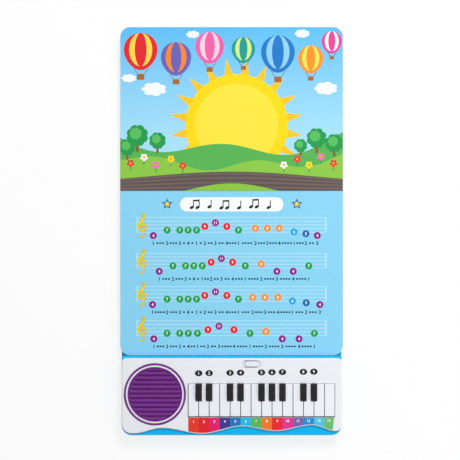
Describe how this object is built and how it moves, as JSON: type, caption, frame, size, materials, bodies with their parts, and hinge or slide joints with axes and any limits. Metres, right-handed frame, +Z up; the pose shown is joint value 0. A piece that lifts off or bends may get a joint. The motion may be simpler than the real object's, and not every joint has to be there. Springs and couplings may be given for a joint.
{
  "type": "sound book",
  "caption": "Children's board book lying open, with a small toy piano keyboard, a round speaker and a power switch in a flat case below the lower page.",
  "frame": {"origin": "under the middle of the open book's outline, on the surface it lies on", "axes": "+X to the right of the open page, +Y up the page from the keyboard to the top page, +Z up from the surface"},
  "size_m": [0.265, 0.485, 0.0253],
  "materials": {
    "cover_wrap": "gloss laminated printed wrap on grey board",
    "page_board": "white coated page board with printed faces",
    "case_plastic": "moulded cyan ABS, satin gloss",
    "panel_plastic": "moulded white ABS, semi-gloss",
    "white_key": "moulded white ABS, polished",
    "black_key": "moulded black ABS, satin",
    "purple_plastic": "moulded purple ABS, satin",
    "steel": "zinc plated",
    "contact_steel": "nickel plated spring steel",
    "ferrite": "sintered ferrite, matte",
    "cone_paper": "pressed black paper",
    "keypad_rubber": "moulded silicone, matte",
    "board_laminate": "green solder mask on glass-fibre board",
    "epoxy": "poured black epoxy",
    "battery_sleeve": "plain printed sleeve on a steel can",
    "nylon": "moulded black nylon",
    "red_lead": "soft PVC insulation, red",
    "black_lead": "soft PVC insulation, black"
  },
  "bodies": {
    "book": {"back_cover": "cover_wrap", "lower_pages": "page_board", "keyboard_case": "case_plastic", "case_base": "case_plastic", "face_panel": "panel_plastic", "speaker_grille": "purple_plastic", "grille_ring": "purple_plastic", "speaker_frame": "steel", "speaker_cone": "cone_paper", "speaker_magnet": "ferrite", "slide_switch": "steel", "key_hinge_rod": "steel", "rubber_keypad": "keypad_rubber", "circuit_board": "board_laminate", "chip_cover": "epoxy", "battery_door": "case_plastic", "battery_1": "battery_sleeve", "battery_2": "battery_sleeve", "battery_link": "contact_steel", "battery_contact_plus": "contact_steel", "battery_spring_minus": "contact_steel", "battery_door_screw": "steel", "case_screw_1": "steel", "case_screw_2": "steel", "case_screw_3": "steel", "case_screw_4": "steel", "speaker_lead_red": "red_lead", "speaker_lead_black": "black_lead", "battery_lead_red": "red_lead", "battery_lead_black": "black_lead"},
    "cover": {"front_cover": "cover_wrap", "upper_pages": "page_board"},
    "power_switch": {"switch_knob": "panel_plastic", "switch_lever": "nylon"},
    "white_key_01": {"white_key_01": "white_key"},
    "white_key_02": {"white_key_02": "white_key"},
    "white_key_03": {"white_key_03": "white_key"},
    "white_key_04": {"white_key_04": "white_key"},
    "white_key_05": {"white_key_05": "white_key"},
    "white_key_06": {"white_key_06": "white_key"},
    "white_key_07": {"white_key_07": "white_key"},
    "white_key_08": {"white_key_08": "white_key"},
    "white_key_09": {"white_key_09": "white_key"},
    "white_key_10": {"white_key_10": "white_key"},
    "white_key_11": {"white_key_11": "white_key"},
    "white_key_12": {"white_key_12": "white_key"},
    "white_key_13": {"white_key_13": "white_key"},
    "white_key_14": {"white_key_14": "white_key"},
    "black_key_01": {"black_key_01": "black_key"},
    "black_key_02": {"black_key_02": "black_key"},
    "black_key_03": {"black_key_03": "black_key"},
    "black_key_04": {"black_key_04": "black_key"},
    "black_key_05": {"black_key_05": "black_key"},
    "black_key_06": {"black_key_06": "black_key"},
    "black_key_07": {"black_key_07": "black_key"},
    "black_key_08": {"black_key_08": "black_key"},
    "black_key_09": {"black_key_09": "black_key"}
  },
  "joints": [
    {"name": "cover_hinge", "type": "hinge", "parent": "book", "child": "cover", "pos_m": [0, 0.0475, 0.0108], "axis": [1, 0, 0], "range_deg": [0, 180]},
    {"name": "power_slide", "type": "slide", "parent": "book", "child": "power_switch", "axis": [1, 0, 0], "range_m": [-0.003, 0.003]},
    {"name": "white_key_01_press", "type": "hinge", "parent": "book", "child": "white_key_01", "pos_m": [-0.04506, -0.1766, 0.0135], "axis": [1, 0, 0], "range_deg": [0, 3.3], "stiffness_Nm_per_rad": 0.15, "springref_deg": -2.86, "deforming": ["rubber_keypad"]},
    {"name": "white_key_02_press", "type": "hinge", "parent": "book", "child": "white_key_02", "pos_m": [-0.0327, -0.1766, 0.0135], "axis": [1, 0, 0], "range_deg": [0, 3.3], "stiffness_Nm_per_rad": 0.15, "springref_deg": -2.86, "deforming": ["rubber_keypad"]},
    {"name": "white_key_03_press", "type": "hinge", "parent": "book", "child": "white_key_03", "pos_m": [-0.02034, -0.1766, 0.0135], "axis": [1, 0, 0], "range_deg": [0, 3.3], "stiffness_Nm_per_rad": 0.15, "springref_deg": -2.86, "deforming": ["rubber_keypad"]},
    {"name": "white_key_04_press", "type": "hinge", "parent": "book", "child": "white_key_04", "pos_m": [-0.00798, -0.1766, 0.0135], "axis": [1, 0, 0], "range_deg": [0, 3.3], "stiffness_Nm_per_rad": 0.15, "springref_deg": -2.86, "deforming": ["rubber_keypad"]},
    {"name": "white_key_05_press", "type": "hinge", "parent": "book", "child": "white_key_05", "pos_m": [0.00438, -0.1766, 0.0135], "axis": [1, 0, 0], "range_deg": [0, 3.3], "stiffness_Nm_per_rad": 0.15, "springref_deg": -2.86, "deforming": ["rubber_keypad"]},
    {"name": "white_key_06_press", "type": "hinge", "parent": "book", "child": "white_key_06", "pos_m": [0.01674, -0.1766, 0.0135], "axis": [1, 0, 0], "range_deg": [0, 3.3], "stiffness_Nm_per_rad": 0.15, "springref_deg": -2.86, "deforming": ["rubber_keypad"]},
    {"name": "white_key_07_press", "type": "hinge", "parent": "book", "child": "white_key_07", "pos_m": [0.0291, -0.1766, 0.0135], "axis": [1, 0, 0], "range_deg": [0, 3.3], "stiffness_Nm_per_rad": 0.15, "springref_deg": -2.86, "deforming": ["rubber_keypad"]},
    {"name": "white_key_08_press", "type": "hinge", "parent": "book", "child": "white_key_08", "pos_m": [0.04146, -0.1766, 0.0135], "axis": [1, 0, 0], "range_deg": [0, 3.3], "stiffness_Nm_per_rad": 0.15, "springref_deg": -2.86, "deforming": ["rubber_keypad"]},
    {"name": "white_key_09_press", "type": "hinge", "parent": "book", "child": "white_key_09", "pos_m": [0.05382, -0.1766, 0.0135], "axis": [1, 0, 0], "range_deg": [0, 3.3], "stiffness_Nm_per_rad": 0.15, "springref_deg": -2.86, "deforming": ["rubber_keypad"]},
    {"name": "white_key_10_press", "type": "hinge", "parent": "book", "child": "white_key_10", "pos_m": [0.06618, -0.1766, 0.0135], "axis": [1, 0, 0], "range_deg": [0, 3.3], "stiffness_Nm_per_rad": 0.15, "springref_deg": -2.86, "deforming": ["rubber_keypad"]},
    {"name": "white_key_11_press", "type": "hinge", "parent": "book", "child": "white_key_11", "pos_m": [0.07854, -0.1766, 0.0135], "axis": [1, 0, 0], "range_deg": [0, 3.3], "stiffness_Nm_per_rad": 0.15, "springref_deg": -2.86, "deforming": ["rubber_keypad"]},
    {"name": "white_key_12_press", "type": "hinge", "parent": "book", "child": "white_key_12", "pos_m": [0.0909, -0.1766, 0.0135], "axis": [1, 0, 0], "range_deg": [0, 3.3], "stiffness_Nm_per_rad": 0.15, "springref_deg": -2.86, "deforming": ["rubber_keypad"]},
    {"name": "white_key_13_press", "type": "hinge", "parent": "book", "child": "white_key_13", "pos_m": [0.10326, -0.1766, 0.0135], "axis": [1, 0, 0], "range_deg": [0, 3.3], "stiffness_Nm_per_rad": 0.15, "springref_deg": -2.86, "deforming": ["rubber_keypad"]},
    {"name": "white_key_14_press", "type": "hinge", "parent": "book", "child": "white_key_14", "pos_m": [0.11562, -0.1766, 0.0135], "axis": [1, 0, 0], "range_deg": [0, 3.3], "stiffness_Nm_per_rad": 0.15, "springref_deg": -2.86, "deforming": ["rubber_keypad"]},
    {"name": "black_key_01_press", "type": "hinge", "parent": "book", "child": "black_key_01", "pos_m": [-0.03888, -0.1766, 0.0135], "axis": [1, 0, 0], "range_deg": [0, 3.3], "stiffness_Nm_per_rad": 0.15, "springref_deg": -2.86, "deforming": ["rubber_keypad"]},
    {"name": "black_key_02_press", "type": "hinge", "parent": "book", "child": "black_key_02", "pos_m": [-0.02652, -0.1766, 0.0135], "axis": [1, 0, 0], "range_deg": [0, 3.3], "stiffness_Nm_per_rad": 0.15, "springref_deg": -2.86, "deforming": ["rubber_keypad"]},
    {"name": "black_key_03_press", "type": "hinge", "parent": "book", "child": "black_key_03", "pos_m": [-0.0018, -0.1766, 0.0135], "axis": [1, 0, 0], "range_deg": [0, 3.3], "stiffness_Nm_per_rad": 0.15, "springref_deg": -2.86, "deforming": ["rubber_keypad"]},
    {"name": "black_key_04_press", "type": "hinge", "parent": "book", "child": "black_key_04", "pos_m": [0.01056, -0.1766, 0.0135], "axis": [1, 0, 0], "range_deg": [0, 3.3], "stiffness_Nm_per_rad": 0.15, "springref_deg": -2.86, "deforming": ["rubber_keypad"]},
    {"name": "black_key_05_press", "type": "hinge", "parent": "book", "child": "black_key_05", "pos_m": [0.03528, -0.1766, 0.0135], "axis": [1, 0, 0], "range_deg": [0, 3.3], "stiffness_Nm_per_rad": 0.15, "springref_deg": -2.86, "deforming": ["rubber_keypad"]},
    {"name": "black_key_06_press", "type": "hinge", "parent": "book", "child": "black_key_06", "pos_m": [0.04764, -0.1766, 0.0135], "axis": [1, 0, 0], "range_deg": [0, 3.3], "stiffness_Nm_per_rad": 0.15, "springref_deg": -2.86, "deforming": ["rubber_keypad"]},
    {"name": "black_key_07_press", "type": "hinge", "parent": "book", "child": "black_key_07", "pos_m": [0.06, -0.1766, 0.0135], "axis": [1, 0, 0], "range_deg": [0, 3.3], "stiffness_Nm_per_rad": 0.15, "springref_deg": -2.86, "deforming": ["rubber_keypad"]},
    {"name": "black_key_08_press", "type": "hinge", "parent": "book", "child": "black_key_08", "pos_m": [0.08472, -0.1766, 0.0135], "axis": [1, 0, 0], "range_deg": [0, 3.3], "stiffness_Nm_per_rad": 0.15, "springref_deg": -2.86, "deforming": ["rubber_keypad"]},
    {"name": "black_key_09_press", "type": "hinge", "parent": "book", "child": "black_key_09", "pos_m": [0.09708, -0.1766, 0.0135], "axis": [1, 0, 0], "range_deg": [0, 3.3], "stiffness_Nm_per_rad": 0.15, "springref_deg": -2.86, "deforming": ["rubber_keypad"]}
  ]
}
